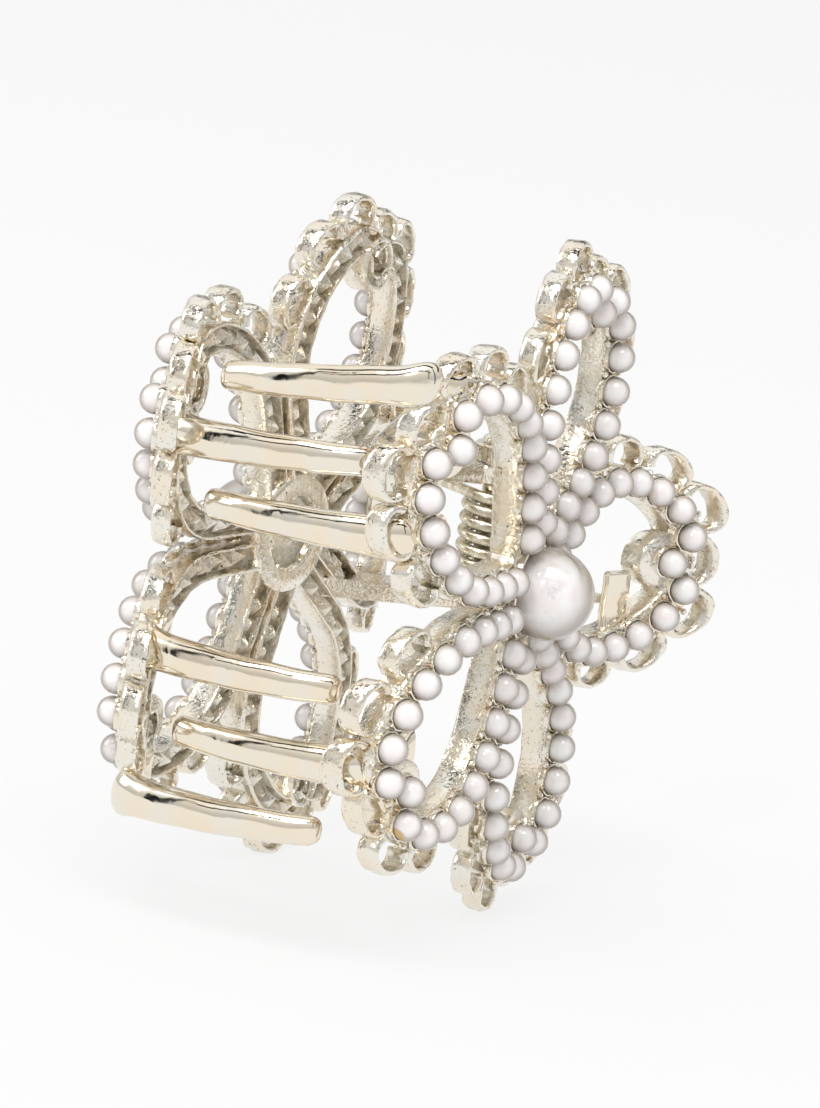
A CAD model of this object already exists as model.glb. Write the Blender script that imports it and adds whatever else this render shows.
"""Visual model of the pearl-set claw clip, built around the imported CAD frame.

Sizes are written in millimetres and turned into metres when a mesh is made. The two castings are
modelled again with their collars, grains, pyramids and rounded edges, and stand for the CAD castings.
"""

from __future__ import annotations

import logging
import math
from dataclasses import dataclass
from enum import Enum

import bmesh
import bpy
import numpy as np
from mathutils import Matrix, Vector

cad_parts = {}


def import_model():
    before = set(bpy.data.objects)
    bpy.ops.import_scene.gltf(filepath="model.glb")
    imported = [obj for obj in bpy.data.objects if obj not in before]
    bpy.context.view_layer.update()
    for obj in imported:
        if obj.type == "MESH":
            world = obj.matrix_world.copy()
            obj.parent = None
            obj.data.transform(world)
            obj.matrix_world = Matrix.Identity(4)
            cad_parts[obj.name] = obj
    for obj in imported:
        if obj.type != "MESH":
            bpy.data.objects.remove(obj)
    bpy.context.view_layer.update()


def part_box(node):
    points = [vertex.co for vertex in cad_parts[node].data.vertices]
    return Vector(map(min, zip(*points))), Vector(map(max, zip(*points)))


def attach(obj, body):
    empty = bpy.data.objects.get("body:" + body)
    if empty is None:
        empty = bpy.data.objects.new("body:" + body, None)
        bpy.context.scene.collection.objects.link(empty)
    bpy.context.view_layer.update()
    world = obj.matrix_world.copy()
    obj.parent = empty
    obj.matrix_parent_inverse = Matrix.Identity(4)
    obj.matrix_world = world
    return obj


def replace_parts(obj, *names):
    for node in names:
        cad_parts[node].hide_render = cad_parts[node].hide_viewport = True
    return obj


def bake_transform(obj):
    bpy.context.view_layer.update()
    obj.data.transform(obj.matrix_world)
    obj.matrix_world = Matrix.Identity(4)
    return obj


LOG = logging.getLogger("claw_clip")
MILLIMETRE = 0.001
SMOOTH_ANGLE = math.radians(38.0)
MERGE_DISTANCE = 1e-7
Array = np.ndarray


class Side(Enum):
    """The two plates of the clip, by the sign of the side of the hinge plane they lie on."""

    RIGHT = 1
    LEFT = -1

    @property
    def word(self) -> str:
        """Name of the side in piece names."""
        return self.name.lower()

    @property
    def body(self) -> str:
        """CAD body that the side's pieces ride on."""
        return f"{self.word}_half"


class Petal(Enum):
    """The five petals of a blossom, counted from the lever petal over the top."""

    LEVER = 0
    UPPER_BACK = 1
    UPPER_JAW = 2
    LOWER_JAW = 3
    LOWER_BACK = 4

    @property
    def word(self) -> str:
        """Name of the petal in piece names."""
        return self.name.lower()

    @property
    def turn(self) -> float:
        """Angle of the petal's axis from the lever direction, in radians."""
        return self.value * 2 * math.pi / len(Petal)


# ---------------------------------------------------------------- mesh making


class Shell:
    """Gathers grids of points, in millimetres, into one mesh with a mark value at every point."""

    def __init__(self) -> None:
        """Starts with no points."""
        self._points: list[Array] = []
        self._marks: list[Array] = []
        self._quads: list[Array] = []
        self._count = 0

    def grid(self, points: Array, wrap_rows: bool = False, mark: Array | float = 0.0) -> None:
        """Adds a grid of quads whose columns go round.

        Args:
            points: Array of rows by columns by three.
            wrap_rows: Whether the last row joins the first.
            mark: What the finish reads at each point, 0 to 1, for the whole grid or point by point.
        """
        rows, columns = points.shape[:2]
        index = np.arange(rows * columns).reshape(rows, columns) + self._count
        index = np.hstack([index, index[:, :1]])
        if wrap_rows:
            index = np.vstack([index, index[:1]])
        corners = [index[:-1, :-1], index[:-1, 1:], index[1:, 1:], index[1:, :-1]]
        self._quads.append(np.stack(corners, axis=-1).reshape(-1, 4))
        self._points.append(points.reshape(-1, 3))
        self._marks.append(np.broadcast_to(mark, (rows, columns)).reshape(-1))
        self._count += rows * columns

    def tube(self, points: Array, mark: Array | float = 0.0) -> None:
        """Adds a grid whose columns go round and whose first and last rows are drawn shut to their middles.

        Args:
            points: Array of rows by columns by three.
            mark: What the finish reads, for the whole tube or point by point.
        """
        first = np.broadcast_to(points[0].mean(axis=0), points[0].shape)
        last = np.broadcast_to(points[-1].mean(axis=0), points[-1].shape)
        shut = np.concatenate([first[None], points, last[None]])
        value = np.broadcast_to(mark, points.shape[:2])
        self.grid(shut, mark=np.concatenate([value[:1], value, value[-1:]]))

    def build(self, name: str, finish: bpy.types.Material, body: str | None) -> bpy.types.Object:
        """Makes the mesh object: doubles merged, faces turned outwards, edges sharper than the angle kept.

        Args:
            name: Name of the piece.
            finish: Material of the piece.
            body: CAD body that the piece rides on, or None where it is blended later.

        Returns:
            The new object.
        """
        points = np.concatenate(self._points) * MILLIMETRE
        quads = np.concatenate(self._quads)
        mesh = bpy.data.meshes.new(name)
        mesh.from_pydata(points, [], quads.tolist())
        layer = mesh.attributes.new("mark", "FLOAT", "POINT")
        layer.data.foreach_set("value", np.concatenate(self._marks).astype(np.float32))
        work = bmesh.new()
        work.from_mesh(mesh)
        bmesh.ops.remove_doubles(work, verts=work.verts, dist=MERGE_DISTANCE)
        bmesh.ops.dissolve_degenerate(work, edges=work.edges, dist=MERGE_DISTANCE)
        bmesh.ops.recalc_face_normals(work, faces=work.faces)
        work.to_mesh(mesh)
        work.free()
        mesh.shade_smooth()
        mesh.set_sharp_from_angle(angle=SMOOTH_ANGLE)
        mesh.materials.append(finish)
        piece = bpy.data.objects.new(name, mesh)
        bpy.context.scene.collection.objects.link(piece)
        if body is not None:
            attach(piece, body)
        LOG.info("%s: %d points, %d faces", name, len(mesh.vertices), len(mesh.polygons))
        return piece


def turned(count: int, start: float = 0.0) -> Array:
    """Angles that go once round in equal steps, without the last.

    Args:
        count: Number of steps.
        start: First angle, in radians.

    Returns:
        Array of the angles.
    """
    return start + np.linspace(0.0, 2 * math.pi, count, endpoint=False)


def ring(count: int) -> Array:
    """Unit circle in equal steps, count by two."""
    return np.stack([np.cos(turned(count)), np.sin(turned(count))], axis=-1)


def revolved(profile: Array, count: int) -> Array:
    """Turns a profile of (radius, height) about the third axis.

    Args:
        profile: Points by two.
        count: Number of columns round the axis.

    Returns:
        Rows by columns by three.
    """
    across = profile[:, None, :1] * ring(count)
    height = np.broadcast_to(profile[:, None, 1:], (*across.shape[:2], 1))
    return np.concatenate([across, height], axis=-1)


def signed_power(value: Array, exponent: float) -> Array:
    """The size of each value to a power, with the value's own sign.

    Args:
        value: Values from -1 to 1.
        exponent: The power; under 1 it squares a circle's corners.

    Returns:
        Array like value.
    """
    return np.sign(value) * np.abs(value) ** exponent


def rounded_box(width: float, low: float, high: float, radius: float, steps: int = 3) -> Array:
    """Outline of a rectangle with quarter-circle corners.

    Args:
        width: Width, centred on zero.
        low: Lower edge.
        high: Upper edge.
        radius: Corner radius.
        steps: Pieces in each corner.

    Returns:
        Array of points by two, going round once.
    """
    angles = np.linspace(0.0, math.pi / 2, steps + 1)
    corners = []
    for quarter, (across, up) in enumerate([(1, 1), (-1, 1), (-1, -1), (1, -1)]):
        swing = angles + quarter * math.pi / 2
        centre = np.array([across * (width / 2 - radius), high - radius if up > 0 else low + radius])
        corners.append(centre + radius * np.stack([np.cos(swing), np.sin(swing)], axis=-1))
    return np.concatenate(corners)


# ---------------------------------------------------------------- shape of a blossom plate


@dataclass(frozen=True)
class PetalOutline:
    """Pearl line of one petal: a small lobe arc, a wide side arc and a straight flank to the hub."""

    notch_radius: float = 28.6
    notch_heading: float = math.radians(23.3)
    lobe_radius: float = 3.0
    lobe_sweep: float = math.radians(111.0)
    side_radius: float = 13.4
    side_sweep: float = math.radians(80.7)
    flank_length: float = 8.0
    hub_overrun: float = 2.2
    fine_steps: int = 3000
    notch_outer_share: float = 0.25

    @property
    def length(self) -> float:
        """Length of one side of the line, from the notch to the flank's end."""
        return self.lobe_radius * self.lobe_sweep + self.side_radius * self.side_sweep + self.flank_length

    def walk(self, distance: Array) -> tuple[Array, Array]:
        """Follows one side of the petal from the notch.

        The heading grows evenly along each arc, so it is a straight-line interpolation between the arcs'
        ends, and the place is the running sum of short steps along the heading.

        Args:
            distance: Distances from the notch.

        Returns:
            Places and outward unit normals, each points by two, as (along, across) the petal.
        """
        lobe_end = self.lobe_radius * self.lobe_sweep
        side_end = lobe_end + self.side_radius * self.side_sweep
        knots = [0.0, lobe_end, side_end, self.length + self.hub_overrun]
        last = self.notch_heading + self.lobe_sweep + self.side_sweep
        headings = [self.notch_heading, self.notch_heading + self.lobe_sweep, last, last]
        fine = np.linspace(0.0, knots[-1], self.fine_steps)
        middle = (fine[1:] + fine[:-1]) / 2
        heading = np.interp(middle, knots, headings)
        step = np.diff(fine)
        along = np.concatenate([[0.0], np.cumsum(np.cos(heading) * step)]) + self.notch_radius
        across = np.concatenate([[0.0], np.cumsum(np.sin(heading) * step)])
        place = np.stack([np.interp(distance, fine, along), np.interp(distance, fine, across)], axis=-1)
        facing = np.interp(distance, knots, headings)
        return place, np.stack([np.sin(facing), -np.cos(facing)], axis=-1)

    def strand(self, steps: int, notch_steps: int = 9) -> tuple[Array, Array, Array]:
        """Frames of the whole strand, from the hub round the petal and back.

        One side is walked, mirrored and joined at the notch, where the normal swings round on the spot.

        Args:
            steps: Frames on each side.
            notch_steps: Frames at the notch.

        Returns:
            Places, outward normals, and the share of the outer half-width that each frame keeps.
        """
        place, normal = self.walk(np.linspace(0.0, self.length + self.hub_overrun, steps))
        mirror = np.array([1.0, -1.0])
        swing = math.pi / 2 - self.notch_heading
        bearing = np.linspace(swing, -swing, notch_steps)
        notch_normal = np.stack([np.cos(bearing), np.sin(bearing)], axis=-1)
        notch_place = np.broadcast_to([self.notch_radius, 0.0], notch_normal.shape)
        places = np.concatenate([place[::-1] * mirror, notch_place, place])
        normals = np.concatenate([normal[::-1] * mirror, notch_normal, normal])
        share = np.concatenate([np.ones(steps), np.full(notch_steps, self.notch_outer_share), np.ones(steps)])
        return places, normals, share


@dataclass(frozen=True)
class BlossomShape:
    """Where a plate's points go: a flower drawn flat and laid on a face that is a cubic of the reach."""

    centre_reach: float
    centre_level: float
    face_height: float = 14.35
    face_slope: float = -0.1409
    face_bend: float = 0.0013
    face_flare: float = 0.00025
    thickness: float = 2.8

    def face(self, reach: Array) -> Array:
        """Height of the outer face over the hinge plane: height + slope r + bend r squared + flare r cubed."""
        return self.face_height + reach * (self.face_slope + reach * (self.face_bend + reach * self.face_flare))

    def grade(self, reach: Array) -> Array:
        """Slope of the outer face, the derivative of the cubic."""
        return self.face_slope + reach * (2 * self.face_bend + 3 * reach * self.face_flare)

    def lay(self, side: Side, turn: float, flat: Array, depth: Array) -> Array:
        """Lays flat points of a petal on the plate.

        The flat point turns with its petal into a reach and a level, and its distance from the hinge
        plane is the face's height at that reach less the depth.

        Args:
            side: Which plate.
            turn: Angle of the petal, in radians.
            flat: Points as (along, across) the petal, any shape by two.
            depth: Depth under the face, same shape without the last axis.

        Returns:
            Points in the frame, in millimetres.
        """
        reach = flat[..., 0] * math.cos(turn) - flat[..., 1] * math.sin(turn)
        level = flat[..., 0] * math.sin(turn) + flat[..., 1] * math.cos(turn)
        return self.place(side, self.face(reach) - depth, reach, level)

    def place(self, side: Side, out: Array, reach: Array, level: Array) -> Array:
        """Points in the frame from their distance out of the hinge plane, reach and level."""
        parts = np.broadcast_arrays(side.value * out, reach + self.centre_reach, level + self.centre_level)
        return np.stack(parts, axis=-1)

    def seat(self, side: Side, turn: float, flat: Array) -> tuple[Array, Array]:
        """Foot points and frames of things that stand on the face.

        Args:
            side: Which plate.
            turn: Angle of the petal, in radians.
            flat: Points as (along, across) the petal, count by two.

        Returns:
            Foot points, count by three, and axes, count by three by three: tangent, level and outward rows.
        """
        foot = self.lay(side, turn, flat, np.zeros(len(flat)))
        grade = self.grade(foot[:, 1] - self.centre_reach)
        scale = 1 / np.hypot(1.0, grade)
        nil = np.zeros_like(grade)
        outward = np.stack([side.value * scale, -grade * scale, nil], axis=-1)
        level = np.stack([nil, nil, nil + 1], axis=-1)
        tangent = np.cross(level, outward)
        return foot, np.stack([tangent, level, outward], axis=1)


def stand(foot: Array, axes: Array, shape: Array) -> Array:
    """Copies a small shape onto many seats.

    Args:
        foot: Foot points, count by three.
        axes: Seat axes, count by three by three.
        shape: Rows by columns by three, in the seat's own axes.

    Returns:
        Count by rows by columns by three.
    """
    return foot[:, None, None, :] + np.einsum("rcj,njk->nrck", shape, axes)


def ripple(points: Array, size: float, length: float) -> Array:
    """Small uneven shifts of a cast surface: each coordinate moves with sines of the others.

    Args:
        points: Points in millimetres.
        size: Largest shift.
        length: Distance over which the shift comes and goes.

    Returns:
        The shifted points.
    """
    wave = 2 * math.pi / length
    first, second, third = points[..., 0], points[..., 1], points[..., 2]
    shift = np.stack(
        [
            np.sin(wave * second + 1.3 * np.sin(wave * third * 0.7)),
            np.sin(wave * third * 1.1 + 1.7 * np.sin(wave * first * 0.8)),
            np.sin(wave * first * 0.9 + 1.1 * np.sin(wave * second * 0.6)),
        ],
        axis=-1,
    )
    return points + size * shift


# ---------------------------------------------------------------- shader making


class Term:
    """A shader socket that takes part in sums; each sign adds a Math node."""

    def __init__(self, tree: bpy.types.NodeTree, socket: bpy.types.NodeSocket) -> None:
        """Keeps the node tree and the output socket."""
        self.tree = tree
        self.socket = socket

    def _joined(self, operation: str, first: Term | float, second: Term | float) -> Term:
        """Adds one Math node.

        Args:
            operation: The Math node's operation.
            first: First value.
            second: Second value.

        Returns:
            The node's result.
        """
        node = self.tree.nodes.new("ShaderNodeMath")
        node.operation = operation
        for place, value in enumerate((first, second)):
            if isinstance(value, Term):
                self.tree.links.new(value.socket, node.inputs[place])
            else:
                node.inputs[place].default_value = value
        return Term(self.tree, node.outputs[0])

    def __add__(self, other: Term | float) -> Term:
        """Sum."""
        return self._joined("ADD", self, other)

    __radd__ = __add__

    def __sub__(self, other: Term | float) -> Term:
        """Difference."""
        return self._joined("SUBTRACT", self, other)

    def __rsub__(self, other: float) -> Term:
        """Difference from a number."""
        return self._joined("SUBTRACT", other, self)

    def __mul__(self, other: Term | float) -> Term:
        """Product."""
        return self._joined("MULTIPLY", self, other)

    __rmul__ = __mul__

    def __pow__(self, other: float) -> Term:
        """Power."""
        return self._joined("POWER", self, other)


class Recipe:
    """A material being made: its nodes, its links and its surface shader."""

    def __init__(self, name: str) -> None:
        """Starts a material that holds only its Principled shader and its output."""
        self.material = bpy.data.materials.new(name)
        self.material.use_nodes = True
        self.tree = self.material.node_tree
        self.shader = self.tree.nodes["Principled BSDF"]

    def node(self, kind: str, settings: dict[str, object], inputs: dict[str | int, object]) -> bpy.types.Node:
        """Adds a node.

        Args:
            kind: Type of the node.
            settings: Its own settings, set before its sockets.
            inputs: Numbers, colours or terms for its sockets, by name or place.

        Returns:
            The node.
        """
        made = self.tree.nodes.new(kind)
        for key, value in settings.items():
            setattr(made, key, value)
        for key, value in inputs.items():
            self.feed(made, key, value)
        return made

    def feed(self, node: bpy.types.Node, key: str | int, value: object) -> None:
        """Links a term to a socket, or sets the socket's value."""
        if isinstance(value, Term):
            self.tree.links.new(value.socket, node.inputs[key])
        else:
            node.inputs[key].default_value = value

    def place(self) -> Term:
        """Position on the piece, in metres."""
        return Term(self.tree, self.node("ShaderNodeTexCoord", {}, {}).outputs["Object"])

    def mark(self, name: str) -> Term:
        """Value of a mesh attribute."""
        node = self.node("ShaderNodeAttribute", {"attribute_name": name}, {})
        return Term(self.tree, node.outputs["Fac"])

    def noise(self, grain: float, detail: float = 2.0, rough: float = 0.5, warp: float = 0.0) -> Term:
        """Even noise from 0 to 1 about 0.5.

        Args:
            grain: Size of the grain, in millimetres.
            detail: How many finer layers are added.
            rough: How strong the finer layers are.
            warp: How much the noise is drawn out of shape.

        Returns:
            The noise.
        """
        inputs = {"Vector": self.place(), "Scale": 1 / (grain * MILLIMETRE), "Detail": detail}
        inputs |= {"Roughness": rough, "Distortion": warp}
        return Term(self.tree, self.node("ShaderNodeTexNoise", {}, inputs).outputs["Fac"])

    def span(self, value: Term, low: float, high: float, start: float = 0.0, end: float = 1.0) -> Term:
        """Maps a stretch of values to another, smoothly and without overshoot.

        Args:
            value: The value.
            low: Value that gives start.
            high: Value that gives end.
            start: Result at low.
            end: Result at high.

        Returns:
            The mapped value.
        """
        inputs = {"Value": value, "From Min": low, "From Max": high, "To Min": start, "To Max": end}
        node = self.node("ShaderNodeMapRange", {"interpolation_type": "SMOOTHSTEP"}, inputs)
        return Term(self.tree, node.outputs["Result"])

    def blend(self, share: Term, first: object, second: object) -> Term:
        """Mixes two colours.

        Args:
            share: Share of the second colour.
            first: First colour, as numbers or a term.
            second: Second colour, as numbers or a term.

        Returns:
            The mixed colour.
        """
        node = self.node("ShaderNodeMix", {"data_type": "RGBA"}, {0: share, 6: first, 7: second})
        return Term(self.tree, node.outputs[2])

    def bump(self, height: Term, depth: float, strength: float = 1.0) -> None:
        """Roughens the surface: depth in millimetres for a height of one."""
        inputs = {"Height": height, "Distance": depth * MILLIMETRE, "Strength": strength}
        node = self.node("ShaderNodeBump", {}, inputs)
        self.feed(self.shader, "Normal", Term(self.tree, node.outputs["Normal"]))

    def set(self, **values: object) -> None:
        """Sets the shader's sockets; underscores in the names stand for spaces."""
        for key, value in values.items():
            self.feed(self.shader, key.replace("_", " "), value)


def tint(red: float, green: float, blue: float) -> tuple[float, float, float, float]:
    """Opaque colour from display values of 0 to 1, turned linear."""
    share = np.array([red, green, blue])
    linear = np.where(share <= 0.04045, share / 12.92, ((share + 0.055) / 1.055) ** 2.4)
    return (*linear.tolist(), 1.0)


@dataclass(frozen=True)
class PlatedMetal:
    """Bright plating over a cast surface: two close tones, dull recesses, dark flecks, lumps and pits."""

    name: str
    light: tuple[float, float, float, float] = tint(0.935, 0.920, 0.880)
    warm: tuple[float, float, float, float] = tint(0.940, 0.900, 0.830)
    recess: tuple[float, float, float, float] = tint(0.74, 0.715, 0.66)
    rub: tuple[float, float, float, float] = tint(0.80, 0.62, 0.50)
    fleck: tuple[float, float, float, float] = tint(0.30, 0.28, 0.25)
    fleck_share: float = 0.9
    roughness: tuple[float, float] = (0.10, 0.24)
    lump_grain: float = 0.55
    lump_depth: float = 0.075
    pit_grain: float = 0.20
    pit_share: float = 0.20
    rubbed: bool = False

    def make(self) -> bpy.types.Material:
        """Makes the material.

        Returns:
            The material; the mesh attribute "mark" is the recess, or the rubbed edge where rubbed is set.
        """
        recipe = Recipe(self.name)
        tone = recipe.span(recipe.noise(4.5, 2.0, 0.5, 0.4), 0.36, 0.64)
        body = recipe.blend(tone, self.light, self.warm)
        stain = recipe.noise(0.7, 3.0, 0.6, 0.6)
        if self.rubbed:
            share = recipe.mark("mark") * recipe.span(stain, 0.50, 0.62)
            colour = recipe.blend(share, body, self.rub)
        else:
            share = recipe.mark("mark") * recipe.span(stain, 0.30, 0.62, 0.55, 1.0)
            colour = recipe.blend(share, body, self.recess)
        dark = recipe.span(recipe.noise(0.42, 3.0, 0.62, 1.2), 0.635, 0.68) * self.fleck_share
        colour = recipe.blend(dark, colour, self.fleck)
        lumps = recipe.noise(self.lump_grain, 2.0, 0.45, 0.8)
        pits = recipe.noise(self.pit_grain, 2.0, 0.5)
        low, high = self.roughness
        haze = recipe.span(recipe.noise(1.8, 3.0, 0.6), 0.35, 0.68, low, high)
        recipe.set(Base_Color=colour, Metallic=1.0, Roughness=haze + share * 0.12)
        recipe.bump(lumps * (1 - self.pit_share) + pits * self.pit_share, self.lump_depth)
        return recipe.material


@dataclass(frozen=True)
class Nacre:
    """Pearl coating: milky white with rose clouds and grey wear, darker at the rim, under a clear gloss."""

    name: str
    milk: tuple[float, float, float, float] = tint(0.945, 0.940, 0.938)
    rose: tuple[float, float, float, float] = tint(0.935, 0.905, 0.900)
    grey: tuple[float, float, float, float] = tint(0.76, 0.755, 0.755)
    rim: tuple[float, float, float, float] = tint(0.57, 0.52, 0.46)
    glue: tuple[float, float, float, float] = tint(0.80, 0.66, 0.42)
    cloud_grain: float = 1.6
    wear: float = 0.0
    wear_grain: float = 2.2

    def make(self) -> bpy.types.Material:
        """Makes the material.

        Returns:
            The material; wear sets how strongly grey patches show, and the mesh attribute "mark" is glue.
        """
        recipe = Recipe(self.name)
        cloud = recipe.span(recipe.noise(self.cloud_grain, 2.0, 0.5, 0.3), 0.34, 0.68)
        body = recipe.blend(cloud, self.milk, self.rose)
        patch = recipe.span(recipe.noise(self.wear_grain, 4.0, 0.62, 0.5), 0.50, 0.74)
        streak = recipe.span(recipe.noise(0.5, 3.0, 0.6, 0.8), 0.40, 0.70)
        worn = patch * (0.35 + streak * 0.65) * self.wear
        facing = recipe.node("ShaderNodeLayerWeight", {}, {"Blend": 0.5}).outputs["Facing"]
        edge = recipe.span(Term(recipe.tree, facing), 0.06, 0.72, 0.0, 1.0)
        body = recipe.blend(edge, recipe.blend(worn, body, self.grey), self.rim)
        recipe.set(Base_Color=recipe.blend(recipe.span(recipe.mark("mark"), 0.35, 0.6), body, self.glue))
        recipe.set(Roughness=recipe.span(recipe.noise(0.8), 0.3, 0.7, 0.16, 0.26) + worn * 0.15)
        recipe.set(Subsurface_Weight=0.08, Subsurface_Scale=0.0005, Subsurface_Radius=(1.0, 0.85, 0.8))
        recipe.set(Coat_Weight=1.0, Coat_Roughness=0.07, Coat_IOR=1.65, IOR=1.5, Specular_IOR_Level=0.5)
        recipe.bump(recipe.noise(0.6, 2.0, 0.5), 0.006)
        return recipe.material


@dataclass(frozen=True)
class DrawnWire:
    """Nickel-plated spring wire with drawing marks along it."""

    name: str
    light: tuple[float, float, float, float] = tint(0.94, 0.91, 0.84)
    dark: tuple[float, float, float, float] = tint(0.78, 0.75, 0.67)

    def make(self) -> bpy.types.Material:
        """Makes the material; the mesh attribute "mark" runs once round the wire's section."""
        recipe = Recipe(self.name)
        patch = recipe.span(recipe.noise(0.9, 3.0, 0.6, 0.4), 0.38, 0.66)
        line = recipe.node("ShaderNodeTexNoise", {"noise_dimensions": "1D"}, {"W": recipe.mark("mark") * 22.0})
        lines = Term(recipe.tree, line.outputs["Fac"])
        recipe.set(Base_Color=recipe.blend(patch * 0.7 + lines * 0.3, self.light, self.dark), Metallic=1.0)
        recipe.set(Roughness=recipe.span(patch, 0.0, 1.0, 0.16, 0.34))
        recipe.bump(lines * 0.5 + recipe.noise(0.3) * 0.5, 0.014)
        return recipe.material


# ---------------------------------------------------------------- castings


@dataclass(frozen=True)
class ToothPlan:
    """Levels of one tooth from the flower's middle, at its root and at its tip."""

    root_level: float
    tip_level: float


@dataclass
class Casting:
    """One whole casting of the clip, as its cast pieces."""

    side: Side
    shape: BlossomShape
    outline: PetalOutline
    hinge_reach: float
    teeth: tuple[ToothPlan, ...]
    ear_level: float
    ear_root: tuple[float, float]
    cast: bpy.types.Material
    polished: bpy.types.Material
    band_inner: float = 1.6
    band_outer: float = 1.4
    strand_steps: int = 86
    loop_places: tuple[tuple[float, float, float], ...] = (
        (32.2, 0.0, 0.0), (32.2, 5.6, 30.0), (32.2, -5.6, -30.0), (27.8, 9.6, 58.0), (27.8, -9.6, -58.0),
        (21.3, 11.25, 88.0), (21.3, -11.25, -88.0),
    )
    loop_bulge: float = 2.1
    loop_spread: float = 2.85
    loop_wall: float = 0.7
    loop_depth: tuple[float, float] = (0.25, 2.45)
    loop_half_sweep: float = math.radians(122.0)
    tooth_root_reach: float = -26.2
    tooth_bow: float = 2.2
    tooth_overlap: float = 8.5
    tooth_width: tuple[float, float] = (4.1, 2.9)
    tooth_thickness: tuple[float, float] = (3.2, 2.0)
    ear_radius: float = 2.4
    ear_thickness: float = 2.0
    ear_bevel: float = 0.22
    bore_radius: float = 1.04
    tab_reach: tuple[float, float] = (22.7, 25.7)
    tab_level: tuple[float, float] = (1.2, 7.6)
    tab_depth: tuple[float, float] = (1.0, 1.9)
    pearl_pitch: float = 3.52
    pearls_per_side: int = 9

    def make(self) -> None:
        """Makes every piece of the casting; the bands stand for the CAD casting."""
        bands = self.bands()
        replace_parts(bands, f"{self.side.word}_casting")
        self.collars()
        self.grains()
        self.loops()
        self.pyramids()
        self.hub()
        self.tooth_set()
        self.ears()
        self.rest_tab()

    def _finish(self, shell: Shell, part: str, polished: bool = False) -> bpy.types.Object:
        """Turns a shell into a piece of this casting."""
        finish = self.polished if polished else self.cast
        return shell.build(f"{self.side.word}_{part}", finish, self.side.body)

    def bands(self) -> bpy.types.Object:
        """Petal bands: a channelled section carried along each petal's pearl line.

        The section is a loop of (outward offset, depth) pairs. Each frame of the strand places it at
        place + offset times normal, and the plate's shape gives its height.

        Returns:
            The piece.
        """
        inner, outer = self.band_inner, self.band_outer
        section = np.array(
            [
                (-inner + 0.28, 0.0), (outer - 0.25, 0.0), (outer - 0.06, 0.10), (outer, 0.3),
                (outer, 2.5), (outer - 0.08, 2.72), (outer - 0.22, 2.8), (outer - 0.34, 2.72),
                (outer - 0.46, 1.85), (-inner + 0.50, 1.85), (-inner + 0.38, 2.72), (-inner + 0.25, 2.8),
                (-inner + 0.08, 2.72), (-inner, 2.5), (-inner, 0.3), (-inner + 0.07, 0.10),
            ]
        )
        mark = np.array([0, 0, 0, 0, 0.05, 0.1, 0, 0.3, 1, 1, 0.3, 0, 0.1, 0.05, 0, 0])
        places, normals, share = self.outline.strand(self.strand_steps)
        offset = np.where(section[None, :, 0] > 0, section[None, :, 0] * share[:, None], section[None, :, 0])
        flat = places[:, None, :] + offset[..., None] * normals[:, None, :]
        depth = np.broadcast_to(section[None, :, 1], offset.shape)
        shell = Shell()
        for petal in Petal:
            points = self.shape.lay(self.side, petal.turn, flat, depth)
            shell.tube(ripple(points, 0.035, 2.7), mark)
        self._cups(shell)
        return self._finish(shell, "bands")

    def _cups(self, shell: Shell) -> None:
        """Adds the round cup at each notch: a profile of (radius, depth) turned about the notch.

        Args:
            shell: Shell that the cups join.
        """
        profile = np.array(
            [
                (1.0, 0.0), (2.65, 0.0), (2.9, 0.12), (3.0, 0.4), (2.95, 2.2), (2.8, 2.65), (2.55, 2.8),
                (2.3, 2.7), (2.1, 2.3), (1.5, 1.9), (0.6, 1.8),
            ]
        )
        mark = np.array([0, 0, 0, 0, 0, 0, 0, 0.3, 0.9, 1, 1])
        cup = revolved(profile, 28)
        flat = cup[..., :2] + np.array([self.outline.notch_radius, 0.0])
        for petal in Petal:
            points = self.shape.lay(self.side, petal.turn, flat, cup[..., 2])
            shell.tube(ripple(points, 0.03, 2.1), np.broadcast_to(mark[:, None], flat.shape[:2]))

    def _seats(self, petal: Petal, steps: Array, offset: float = 0.0) -> tuple[Array, Array]:
        """Seats at numbers of pearl pitches from the notch, on both sides of a petal.

        Args:
            petal: Which petal.
            steps: Numbers of pitches from the notch.
            offset: Distance outside the pearl line.

        Returns:
            Foot points and axes, as BlossomShape.seat gives them.
        """
        place, normal = self.outline.walk(steps * self.pearl_pitch)
        flat = place + offset * normal
        both = np.concatenate([flat, flat[steps > 0] * np.array([1.0, -1.0])])
        return self.shape.seat(self.side, petal.turn, both)

    def collars(self) -> bpy.types.Object:
        """Thin cups that hug the pearls: a profile of (radius, height) turned about each seat."""
        profile = np.array(
            [(1.20, -0.5), (1.5, -0.62), (1.72, -0.2), (1.77, 0.2), (1.71, 0.46), (1.58, 0.5), (1.47, 0.3)]
        )
        cup = revolved(profile, 18)
        shell = Shell()
        for petal in Petal:
            foot, axes = self._seats(petal, np.arange(self.pearls_per_side + 1))
            for points in ripple(stand(foot, axes, cup), 0.03, 1.3):
                shell.grid(points, wrap_rows=True)
        return self._finish(shell, "collars")

    def grains(self) -> bpy.types.Object:
        """Small balls between the pearls on both edges: spheres by latitude and longitude on each seat."""
        radius, height = 0.37, 0.22
        latitude = np.radians([-60.0, -20.0, 20.0, 60.0])
        ball = revolved(np.stack([radius * np.cos(latitude), height + radius * np.sin(latitude)], axis=-1), 8)
        shell = Shell()
        for petal in Petal:
            for offset in (1.38, -1.42):
                first = 0.5 if offset > 0 else 1.5
                foot, axes = self._seats(petal, np.arange(first, self.pearls_per_side), offset)
                for points in ripple(stand(foot, axes, ball), 0.06, 0.9):
                    shell.tube(points)
        return self._finish(shell, "grains")

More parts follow.
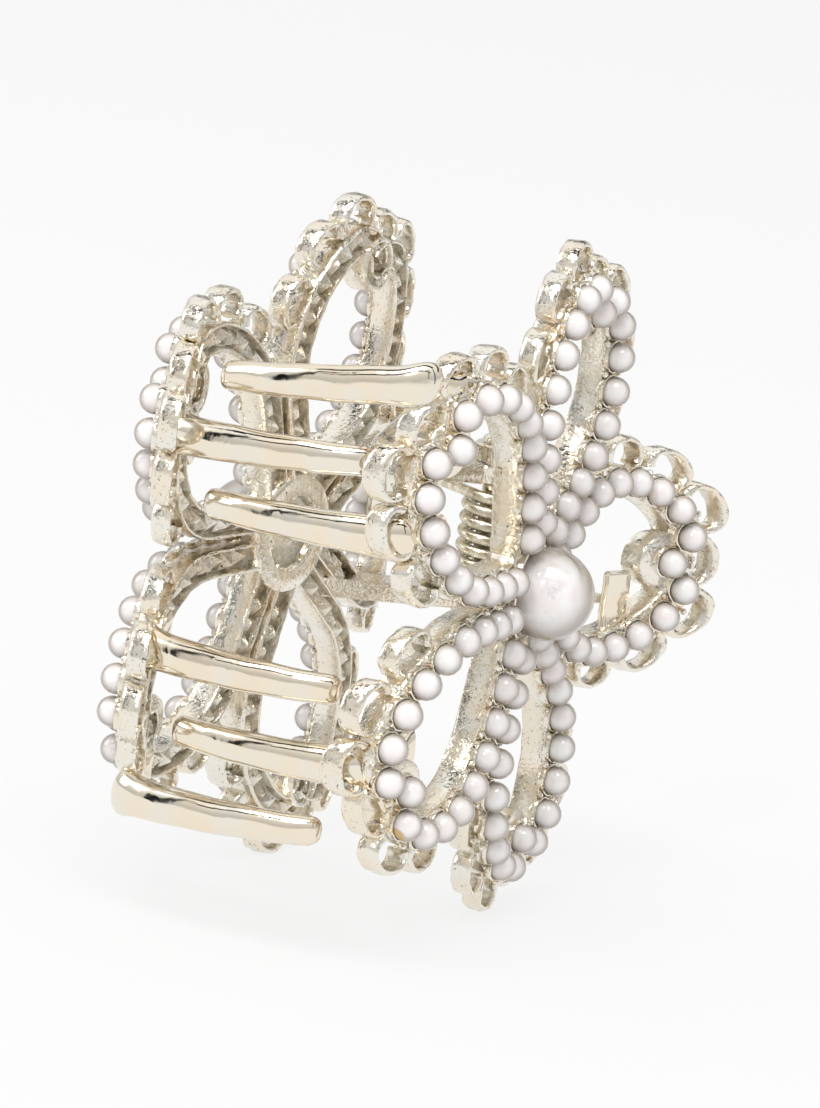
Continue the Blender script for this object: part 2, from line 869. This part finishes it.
    def loops(self) -> bpy.types.Object:
        """Scalloped edge: a rounded strip carried round most of an ellipse at each loop place.

        The ellipse's point at a swing is (bulge cos, spread sin) and its outward normal is that of the
        ellipse, so the wall keeps its thickness; the strip's section is a squared-off circle.

        Returns:
            The piece.
        """
        swing = np.linspace(-self.loop_half_sweep, self.loop_half_sweep, 27)
        around = turned(14, math.pi / 14)
        bulge, spread = self.loop_bulge - self.loop_wall / 2, self.loop_spread - self.loop_wall / 2
        centre_line = np.stack([bulge * np.cos(swing), spread * np.sin(swing)], axis=-1)
        normal = np.stack([spread * np.cos(swing), bulge * np.sin(swing)], axis=-1)
        normal /= np.linalg.norm(normal, axis=1, keepdims=True)
        flare = 1 + 0.35 * (np.abs(swing) / self.loop_half_sweep) ** 4
        out = signed_power(np.cos(around), 0.8) * self.loop_wall / 2 * flare[:, None]
        low, high = self.loop_depth
        depth = (low + high) / 2 - signed_power(np.sin(around), 0.55) * (high - low) / 2
        strip = centre_line[:, None, :] + out[..., None] * normal[:, None, :]
        inside = np.broadcast_to(0.35 * (np.cos(around) < -0.5), out.shape)
        shell = Shell()
        for petal in Petal:
            for along, across, bearing in self.loop_places:
                turn = math.radians(bearing)
                spin = np.array([(math.cos(turn), math.sin(turn)), (-math.sin(turn), math.cos(turn))])
                flat = strip @ spin + np.array([along, across])
                points = self.shape.lay(self.side, petal.turn, flat, np.broadcast_to(depth, out.shape))
                shell.tube(ripple(points, 0.05, 1.9), inside)
        return self._finish(shell, "loops")

    def pyramids(self) -> bpy.types.Object:
        """Small pyramids in the channel: square rings that shrink to a point, leaning to each side in turn."""
        pitch = 2.05
        count = int(self.outline.length / pitch)
        distance = (np.arange(count) + 0.75) * pitch
        place, normal = self.outline.walk(distance)
        along = np.stack([-normal[:, 1], normal[:, 0]], axis=-1)
        lean = np.where(np.arange(count) % 2 == 0, 0.32, -0.32)
        corner = np.array([(-1, -1), (1, -1), (1, 1), (-1, 1)], dtype=float)
        half_along, half_across = 1.0, 0.98
        middle = (self.band_outer - self.band_inner) / 2
        base = corner[None] * np.array([half_along, half_across])
        tip = corner[None] * 0.09 + np.stack([np.zeros(count), lean], axis=-1)[:, None, :]
        rings = np.stack([np.broadcast_to(base, (count, 4, 2)), tip], axis=1)
        flat = (
            place[:, None, None, :]
            + rings[..., :1] * along[:, None, None, :]
            + (rings[..., 1:] + middle) * normal[:, None, None, :]
        )
        depth = np.broadcast_to(np.array([1.75, 2.78])[None, :, None], (count, 2, 4))
        shell = Shell()
        for petal in Petal:
            for mirror in (1.0, -1.0):
                points = self.shape.lay(self.side, petal.turn, flat * np.array([1.0, mirror]), depth)
                for pyramid in points:
                    shell.tube(pyramid, np.array([[0.75] * 4, [0.0] * 4]))
        return self._finish(shell, "pyramids")

    def hub(self) -> bpy.types.Object:
        """Hub: a profile of (radius, depth) turned about the flower's middle, with a collar in front."""
        profile = np.array(
            [
                (2.0, 0.02), (4.45, 0.02), (4.72, -0.25), (4.84, -0.75), (5.0, -0.88), (5.18, -0.78),
                (5.3, -0.4), (5.5, -0.1), (6.0, 0.05), (6.2, 0.4), (6.2, 2.4), (6.05, 2.7), (5.8, 2.8),
                (4.2, 2.8), (3.9, 2.7), (3.7, 2.4), (3.6, 1.95), (3.2, 1.75), (2.2, 1.45), (1.1, 1.3),
                (0.4, 1.26),
            ]
        )
        mark = np.array([0] * 12 + [0, 0, 0.1, 0.5, 1, 0.8, 0.4, 0.2, 0.1])
        hub = revolved(profile, 56)
        shell = Shell()
        points = self.shape.lay(self.side, 0.0, hub[..., :2], hub[..., 2])
        shell.tube(ripple(points, 0.03, 2.4), np.broadcast_to(mark[:, None], points.shape[:2]))
        return self._finish(shell, "hub")

    def tooth_set(self) -> None:
        """Teeth: a flattened round section carried from the plate across the gap, one piece each.

        The travel runs from 0 at the root to 1 at the tip. Width and thickness fall evenly along it, the
        reach bows by a parabola, and both ends close along the quarter of an ellipse.
        """
        root_out = float(self.shape.face(np.array(self.tooth_root_reach))) - 1.4
        near, far = root_out + 1.25, -self.tooth_overlap
        ends = np.concatenate(
            [0.085 * (1 - np.cos(np.linspace(0.06, 1, 12) * math.pi / 2)), np.linspace(0.10, 0.95, 34),
             1 - 0.045 * (1 - np.sin(np.linspace(0.05, 0.97, 10) * math.pi / 2))]
        )
        travel = ends[:, None]
        start = np.clip(1 - (1 - np.clip(travel / 0.085, 0, 1)) ** 2.6, 0, 1) ** (1 / 2.6)
        stop = np.sqrt(np.clip(1 - (1 - np.clip((1 - travel) / 0.045, 0, 1)) ** 2, 0, 1))
        close = start * (0.45 + 0.55 * stop)
        around = turned(28)
        width = self.tooth_width[0] + (self.tooth_width[1] - self.tooth_width[0]) * travel
        flare = 1 + 0.16 * np.exp(-(((travel - 0.06) / 0.07) ** 2))
        thickness = self.tooth_thickness[0] + (self.tooth_thickness[1] - self.tooth_thickness[0]) * travel
        across = signed_power(np.cos(around), 0.82) * width * flare / 2 * close
        front = np.sin(around) > 0
        through = np.where(front, np.sin(around), signed_power(np.sin(around), 0.6)) * thickness / 2 * close
        bend = 0.25 * np.exp(-((travel / 0.085) ** 2))
        mark = np.exp(-(((1 - travel) / 0.10) ** 2)) * (np.abs(np.cos(around)) > 0.8)
        for number, tooth in enumerate(self.teeth, start=1):
            out = near + (far - near) * travel
            reach = self.tooth_root_reach + bend - 4 * self.tooth_bow * travel * (1 - travel) - through
            level = tooth.root_level + (tooth.tip_level - tooth.root_level) * travel + across
            points = self.shape.place(self.side, out, reach, level)
            shell = Shell()
            shell.tube(ripple(points, 0.03, 6.0), mark)
            self._web(shell, tooth)
            self._finish(shell, f"tooth_{number}", polished=True)

    def _web(self, shell: Shell, tooth: ToothPlan) -> None:
        """Adds the web from a tooth's root back into the plate: a squared-off section that widens on its way.

        Args:
            shell: Shell of the tooth.
            tooth: Levels of the tooth.
        """
        share = np.linspace(0.0, 1.0, 9)[:, None]
        around = turned(20)
        reach = self.tooth_root_reach + 4.5 * share
        middle = self.shape.face(reach) - 1.55
        half_out = 1.0 + 0.25 * share
        half_level = 1.5 + 1.4 * share**2
        out = middle + half_out * signed_power(np.cos(around), 0.6)
        level = tooth.root_level * (1 - 0.08 * share) + half_level * signed_power(np.sin(around), 0.6)
        shell.tube(ripple(self.shape.place(self.side, out, reach, level), 0.05, 2.2))

    def ears(self) -> bpy.types.Object:
        """Two bored ears: an outline round the hinge axis, stacked in level with bevelled rims.

        The outline's radius is the larger of the knuckle's and that of the arm, whose edge is found along
        each bearing from the lines of its sides.

        Returns:
            The piece.
        """
        root_start, root_end = (reach - self.hinge_reach for reach in self.ear_root)
        arm_out = float(self.shape.face(np.array(self.ear_root[1]))) - 1.4
        radius = self.ear_radius
        corners = np.array([(0, -radius), (arm_out, root_start), (arm_out, root_end), (0, radius)])
        arm_bearing = np.arctan2(corners[1:3, 1], corners[1:3, 0])
        bearing = np.sort(np.concatenate([turned(72, -math.pi), arm_bearing]))
        heading = np.stack([np.cos(bearing), np.sin(bearing)], axis=-1)
        edge = np.diff(corners, axis=0)
        normal = np.stack([edge[:, 1], -edge[:, 0]], axis=-1)
        gap = np.sum(normal * corners[:-1], axis=1)
        facing = heading @ normal.T
        reachable = np.where(facing > 1e-6, gap / np.where(facing > 1e-6, facing, 1.0), np.inf).min(axis=1)
        radius = np.maximum(np.where(heading[:, 0] > 0, reachable, 0.0), radius)
        half, bevel = self.ear_thickness / 2, self.ear_bevel
        rows = [
            (self.bore_radius, half), (radius - bevel, half), (radius, half - bevel),
            (radius, bevel - half), (radius - bevel, -half), (self.bore_radius, -half),
        ]
        shell = Shell()
        for level in (-self.ear_level, self.ear_level):
            points = []
            for size, height in rows:
                reach = size * heading[:, 1] + self.hinge_reach
                points.append(self.shape.place(self.side, size * heading[:, 0], reach, level + height))
            shell.grid(np.stack(points), wrap_rows=True)
        return self._finish(shell, "ears")

    def rest_tab(self) -> bpy.types.Object:
        """Rest tab of the spring: a rounded outline of (reach, depth) stacked in level, which follows the face.

        The free end is drawn in along a quarter circle, and towards the band the tab swells outwards.

        Returns:
            The piece.
        """
        start, end = self.tab_reach
        middle = (start + end) / 2
        outline = rounded_box(end - start, self.tab_depth[0], self.tab_depth[1], 0.2)
        near, far = self.tab_level
        rounding = np.sin(np.linspace(0.02, 1, 7) * math.pi / 2) * 0.08
        share = np.concatenate([rounding, np.linspace(0.12, 1.0, 12)])
        draw = np.where(share < 0.08, np.sqrt(np.clip(1 - (1 - share / 0.08) ** 2, 0, 1)) * 0.5 + 0.5, 1.0)
        swell = np.clip((share - 0.62) / 0.38, 0, 1)[:, None] ** 2
        reach = middle + outline[:, 0] * (0.85 + 0.15 * draw[:, None]) * (1 + 0.12 * swell)
        depth = 1.45 + (outline[:, 1] - 1.45) * draw[:, None] - 0.35 * swell
        level = (near + (far - near) * share[:, None]) * -self.side.value
        points = self.shape.place(self.side, self.shape.face(reach) - depth, reach, level)
        shell = Shell()
        shell.tube(ripple(points, 0.02, 2.5))
        return self._finish(shell, "rest_tab", polished=True)


# ---------------------------------------------------------------- pearls, pin and spring


@dataclass
class PearlSet:
    """The glued half-drilled pearls of one plate."""

    side: Side
    shape: BlossomShape
    outline: PetalOutline
    small: bpy.types.Material
    large: bpy.types.Material
    radius: float = 1.56
    sink: float = 0.9
    film: float = 0.06
    pitch: float = 3.52
    per_side: int = 9
    centre_radius: float = 4.65
    centre_sink: float = 2.44
    glue_spot: tuple[float, float, float] = (15.87, -24.39, -21.03)
    glue_radius: float = 0.95

    def make(self) -> None:
        """Makes the small pearls petal by petal, then the centre pearl."""
        for petal in Petal:
            self.petal_pearls(petal)
        self.centre_pearl()

    def dome(self, radius: float, sink: float, rings: int, columns: int) -> Array:
        """Sphere cut flat below, by latitude and longitude.

        Args:
            radius: Radius of the sphere.
            sink: Depth of the cut below the sphere's middle.
            rings: Number of latitudes.
            columns: Number of longitudes.

        Returns:
            Rings by columns by three; heights are from the cut.
        """
        latitude = np.linspace(-math.asin(sink / radius), math.pi / 2, rings)
        height = radius * np.sin(latitude) + sink + self.film
        return revolved(np.stack([radius * np.cos(latitude), height], axis=-1), columns)

    def petal_pearls(self, petal: Petal) -> bpy.types.Object:
        """Pearls of one petal: one dome at the notch and an equal walk down both sides."""
        place, _ = self.outline.walk(np.arange(self.per_side + 1) * self.pitch)
        flat = np.concatenate([place, place[1:] * np.array([1.0, -1.0])])
        foot, axes = self.shape.seat(self.side, petal.turn, flat)
        spot = np.array(self.glue_spot) + np.array([0.0, self.shape.centre_reach, self.shape.centre_level])
        shell = Shell()
        for points in stand(foot, axes, self.dome(self.radius, self.sink, 8, 18)):
            away = np.linalg.norm(points - spot, axis=-1)
            shell.tube(points, np.exp(-((away / self.glue_radius) ** 2)))
        name = f"{self.side.word}_{petal.word}_pearls"
        piece = shell.build(f"{name}_set", self.small, self.side.body)
        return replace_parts(piece, name)

    def centre_pearl(self) -> bpy.types.Object:
        """Large half pearl in the middle."""
        foot, axes = self.shape.seat(self.side, 0.0, np.zeros((1, 2)))
        shell = Shell()
        shell.tube(stand(foot, axes, self.dome(self.centre_radius, self.centre_sink, 28, 56))[0])
        name = f"{self.side.word}_centre_pearl"
        piece = shell.build(f"{name}_dome", self.large, self.side.body)
        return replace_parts(piece, name)


@dataclass
class HingePin:
    """Riveted pin: a profile of (radius, level) turned about the hinge axis."""

    centre: tuple[float, float, float]
    half_length: float
    finish: bpy.types.Material
    radius: float = 1.0
    head_radius: float = 1.7
    head_height: float = 0.8

    def make(self) -> bpy.types.Object:
        """Makes the pin.

        Returns:
            The piece.
        """
        top, neck = self.half_length, self.half_length - self.head_height
        half = np.array(
            [
                (0.5, top), (1.0, top - 0.06), (1.4, top - 0.22), (1.62, top - 0.45),
                (self.head_radius, neck + 0.12), (self.head_radius - 0.08, neck), (self.radius, neck),
            ]
        )
        profile = np.concatenate([half, half[::-1] * np.array([1.0, -1.0])])
        shell = Shell()
        shell.tube(revolved(profile, 32) + np.array(self.centre))
        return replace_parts(shell.build("hinge_rivet", self.finish, Side.LEFT.body), "hinge_pin")


@dataclass
class TorsionSpring:
    """Coil on the pin with a straight leg to each rest tab."""

    centre: tuple[float, float, float]
    leg_out: float
    leg_rise: float
    finish: bpy.types.Material
    wire_radius: float = 0.575
    mean_radius: float = 2.35
    pitch: float = 1.45
    turns: int = 6

    def path(self) -> Array:
        """Middle line of the wire.

        The coil is a helix that turns clockwise as it climbs, from the right leg's point of touch to the
        left leg's, and each leg is a straight tangent.

        Returns:
            Points by three, relative to the hinge's middle.
        """
        spread = math.acos(self.mean_radius / math.hypot(self.leg_out, self.leg_rise))
        first = math.atan2(self.leg_rise, self.leg_out) - spread
        sweep = 2 * math.pi * self.turns + math.pi + 2 * first
        rise = self.pitch * sweep / (2 * math.pi)
        share = np.linspace(0.0, 1.0, 210)
        angle = first - sweep * share
        coil = np.stack(
            [self.mean_radius * np.cos(angle), self.mean_radius * np.sin(angle), rise * (share - 0.5)], axis=-1
        )
        fade = np.linspace(1.0, 0.0, 12, endpoint=False)[:, None]
        right_end = np.array([self.leg_out, self.leg_rise, -rise / 2])
        left_end = np.array([-self.leg_out, self.leg_rise, rise / 2])
        right = coil[0] + (right_end - coil[0]) * fade
        left = coil[-1] + (left_end - coil[-1]) * fade[::-1]
        return np.concatenate([right, coil, left])

    def make(self) -> bpy.types.Object:
        """Makes the wire: a circle carried along the middle line, squared off against the vertical.

        Returns:
            The piece.
        """
        line = self.path()
        heading = np.gradient(line, axis=0)
        heading /= np.linalg.norm(heading, axis=1, keepdims=True)
        beside = np.cross(heading, [0.0, 0.0, 1.0])
        beside /= np.linalg.norm(beside, axis=1, keepdims=True)
        above = np.cross(beside, heading)
        size = np.full(len(line), self.wire_radius)
        size[[0, -1]] *= 0.8
        section = np.einsum("ck,rkj->rcj", ring(14), np.stack([beside, above], axis=1))
        points = line[:, None, :] + size[:, None, None] * section + np.array(self.centre)
        shell = Shell()
        shell.tube(points, np.broadcast_to(np.abs(np.linspace(-1, 1, 14)), points.shape[:2]))
        piece = shell.build("wire_spring", self.finish, None)
        lift = (line[-1, 2] - self.wire_radius) * MILLIMETRE
        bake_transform(piece)
        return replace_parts(piece, "torsion_spring")


# ---------------------------------------------------------------- studio


@dataclass
class Studio:
    """Pale floor, white surroundings with dark strips, three lights and the camera.

    Each light is a name, azimuth and elevation in degrees, distance, width, height and power. Each flag
    is an azimuth and elevation in degrees, width, height and distance.
    """

    azimuth: float = math.radians(25.096)
    elevation: float = math.radians(11.366)
    roll: float = math.radians(8.334)
    distance: float = 0.56733
    lens: float = 184.36
    sensor: float = 36.0
    floor_half: float = 6.0
    floor_tone: tuple[float, float, float, float] = tint(0.38, 0.38, 0.38)
    floor_glow: float = 0.80
    horizon: float = 0.62
    zenith: float = 1.05
    lamps: tuple[tuple[str, float, float, float, float, float, float], ...] = (
        ("key_light", 10.0, 66.0, 1.3, 0.95, 0.52, 9.0),
        ("side_light", -70.0, 25.0, 0.8, 0.30, 0.50, 1.0),
        ("window_light", 6.0, 38.0, 0.8, 0.075, 0.10, 0.80),
    )
    strips: tuple[tuple[float, float, float, float, float], ...] = (
        (25.0, -13.0, 1.2, 0.05, 0.32),
        (20.0, 46.0, 0.9, 0.08, 0.50),
        (20.0, 88.0, 0.9, 0.14, 0.55),
        (95.0, 12.0, 0.08, 0.8, 0.60),
        (-42.0, 12.0, 0.08, 0.8, 0.60),
        (170.0, 34.0, 1.0, 0.12, 0.60),
        (60.0, 28.0, 0.04, 0.5, 0.60),
    )

    def make(self, aim: Vector) -> None:
        """Makes the studio.

        Args:
            aim: Point that the camera looks at.
        """
        self.camera(aim)
        self.floor()
        self.surroundings()
        self.lights(aim)
        self.flags(aim)
        bpy.context.scene.view_settings.view_transform = "Standard"

    def towards(self, azimuth: float, elevation: float) -> Vector:
        """Unit vector from the object at an azimuth and an elevation."""
        flat = math.cos(elevation)
        return Vector((math.sin(azimuth) * flat, -math.cos(azimuth) * flat, math.sin(elevation)))

    def camera(self, aim: Vector) -> None:
        """Places the camera: back from the aim along the view, its right side turned up by the roll."""
        back = self.towards(self.azimuth, self.elevation)
        level = Vector((math.cos(self.azimuth), math.sin(self.azimuth), 0.0))
        rise = back.cross(level)
        right = level * math.cos(self.roll) + rise * math.sin(self.roll)
        up = back.cross(right)
        turn = Matrix((right, up, back)).transposed().to_4x4()
        data = bpy.data.cameras.new("studio_camera")
        data.lens = self.lens
        data.sensor_width = self.sensor
        data.clip_start = 0.01
        data.clip_end = 50.0
        camera = bpy.data.objects.new("studio_camera", data)
        camera.matrix_world = Matrix.Translation(aim + back * self.distance) @ turn
        bpy.context.scene.collection.objects.link(camera)
        bpy.context.scene.camera = camera

    def sheet(self, name: str, corners: list[Vector], finish: bpy.types.Material) -> bpy.types.Object:
        """Flat four-cornered stage sheet."""
        mesh = bpy.data.meshes.new(name)
        mesh.from_pydata([tuple(corner) for corner in corners], [], [(0, 1, 2, 3)])
        mesh.materials.append(finish)
        made = bpy.data.objects.new(name, mesh)
        bpy.context.scene.collection.objects.link(made)
        return made

    def floor(self) -> None:
        """Matte floor, mostly self-lit so that it stays evenly pale and takes only a faint shadow."""
        recipe = Recipe("pale_floor")
        recipe.set(Base_Color=self.floor_tone, Roughness=0.9, Specular_IOR_Level=0.0)
        recipe.set(Emission_Color=(1.0, 1.0, 1.0, 1.0), Emission_Strength=self.floor_glow)
        size = self.floor_half
        corners = [Vector((x * size, y * size, 0)) for x, y in ((-1, -1), (1, -1), (1, 1), (-1, 1))]
        self.sheet("floor", corners, recipe.material)

    def surroundings(self) -> None:
        """White light from all round, weaker towards the horizon."""
        world = bpy.data.worlds.new("white_surroundings")
        world.use_nodes = True
        tree = world.node_tree
        place = tree.nodes.new("ShaderNodeTexCoord")
        split = tree.nodes.new("ShaderNodeSeparateXYZ")
        tree.links.new(place.outputs["Generated"], split.inputs[0])
        spread = tree.nodes.new("ShaderNodeMapRange")
        spread.interpolation_type = "SMOOTHSTEP"
        spread.inputs["From Min"].default_value = 0.0
        spread.inputs["From Max"].default_value = 0.9
        spread.inputs["To Min"].default_value = self.horizon
        spread.inputs["To Max"].default_value = self.zenith
        tree.links.new(split.outputs["Z"], spread.inputs["Value"])
        background = tree.nodes["Background"]
        background.inputs["Color"].default_value = (1.0, 0.995, 0.985, 1.0)
        tree.links.new(spread.outputs["Result"], background.inputs["Strength"])
        bpy.context.scene.world = world

    def lights(self, aim: Vector) -> None:
        """Large soft light high before the object, a weaker one from its left, and a small bright window."""
        for name, azimuth, elevation, distance, width, height, power in self.lamps:
            data = bpy.data.lights.new(name, "AREA")
            data.shape = "RECTANGLE"
            data.size = width
            data.size_y = height
            data.energy = power
            light = bpy.data.objects.new(name, data)
            back = self.towards(math.radians(azimuth), math.radians(elevation))
            turn = back.to_track_quat("Z", "Y").to_matrix().to_4x4()
            light.matrix_world = Matrix.Translation(aim + back * distance) @ turn
            bpy.context.scene.collection.objects.link(light)

    def flags(self, aim: Vector) -> None:
        """Black strips that show only in reflections, as dark lines on the polished metal."""
        recipe = Recipe("black_flag")
        recipe.set(Base_Color=(0.004, 0.004, 0.004, 1.0), Roughness=1.0, Specular_IOR_Level=0.0)
        for number, (azimuth, elevation, width, height, distance) in enumerate(self.strips, start=1):
            back = self.towards(math.radians(azimuth), math.radians(elevation))
            level = Vector((math.cos(math.radians(azimuth)), math.sin(math.radians(azimuth)), 0.0))
            across, rise = level * width / 2, back.cross(level) * height / 2
            middle = aim + back * distance
            low, high = middle - rise, middle + rise
            corners = [low - across, low + across, high + across, high - across]
            flag = self.sheet(f"flag_{number}", corners, recipe.material)
            flag.visible_camera = False
            flag.visible_diffuse = False
            flag.visible_shadow = False


# ---------------------------------------------------------------- the clip


def main() -> None:
    """Loads the frame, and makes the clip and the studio."""
    logging.basicConfig(level=logging.INFO, format="%(name)s: %(message)s")
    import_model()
    pin_low, pin_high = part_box("hinge_pin")
    pin_middle = (pin_low + pin_high) / 2 / MILLIMETRE
    hinge_offset = 20.5
    aim_offset = (1.164, 0.675, 0.585)
    shape = BlossomShape(centre_reach=pin_middle.y - hinge_offset, centre_level=pin_middle.z)
    outline = PetalOutline()
    cast = PlatedMetal("cast_plating").make()
    polished = PlatedMetal(
        "polished_plating", light=tint(0.93, 0.905, 0.85), warm=tint(0.945, 0.895, 0.81), fleck_share=0.0,
        roughness=(0.07, 0.16), lump_grain=3.2, lump_depth=0.06, pit_share=0.02, rubbed=True,
    ).make()
    small_pearl = Nacre("pearl_nacre").make()
    large_pearl = Nacre("worn_nacre", wear=0.85).make()
    right_teeth = (ToothPlan(22.9, 19.4), ToothPlan(7.9, 6.9), ToothPlan(-14.8, -15.8))
    left_teeth = (ToothPlan(-23.3, -22.2), ToothPlan(-8.4, -8.2), ToothPlan(12.8, 14.3))
    right_ear, left_ear = (8.75, (13.5, 19.0)), (6.6, (8.0, 13.5))
    Casting(Side.RIGHT, shape, outline, hinge_offset, right_teeth, *right_ear, cast, polished).make()
    Casting(Side.LEFT, shape, outline, hinge_offset, left_teeth, *left_ear, cast, polished).make()
    for side in Side:
        PearlSet(side, shape, outline, small_pearl, large_pearl).make()
    centre = (0.0, pin_middle.y, pin_middle.z)
    pin_metal = PlatedMetal("pin_plating", fleck_share=0.0, lump_grain=2.0, lump_depth=0.02).make()
    HingePin(centre, (pin_high.z - pin_low.z) / 2 / MILLIMETRE, pin_metal).make()
    leg_reach, tab_end, tab_back, leg_gap = 24.2, 25.7, 1.9, 0.625
    leg_slope = float(shape.grade(np.array(tab_end)))
    leg_out = float(shape.face(np.array(leg_reach))) - tab_back - leg_gap * math.hypot(1.0, leg_slope)
    TorsionSpring(centre, leg_out, leg_reach - hinge_offset, DrawnWire("spring_steel").make()).make()
    flower_middle = Vector((0.0, shape.centre_reach, shape.centre_level))
    Studio().make((flower_middle + Vector(aim_offset)) * MILLIMETRE)


if __name__ == "__main__":
    main()
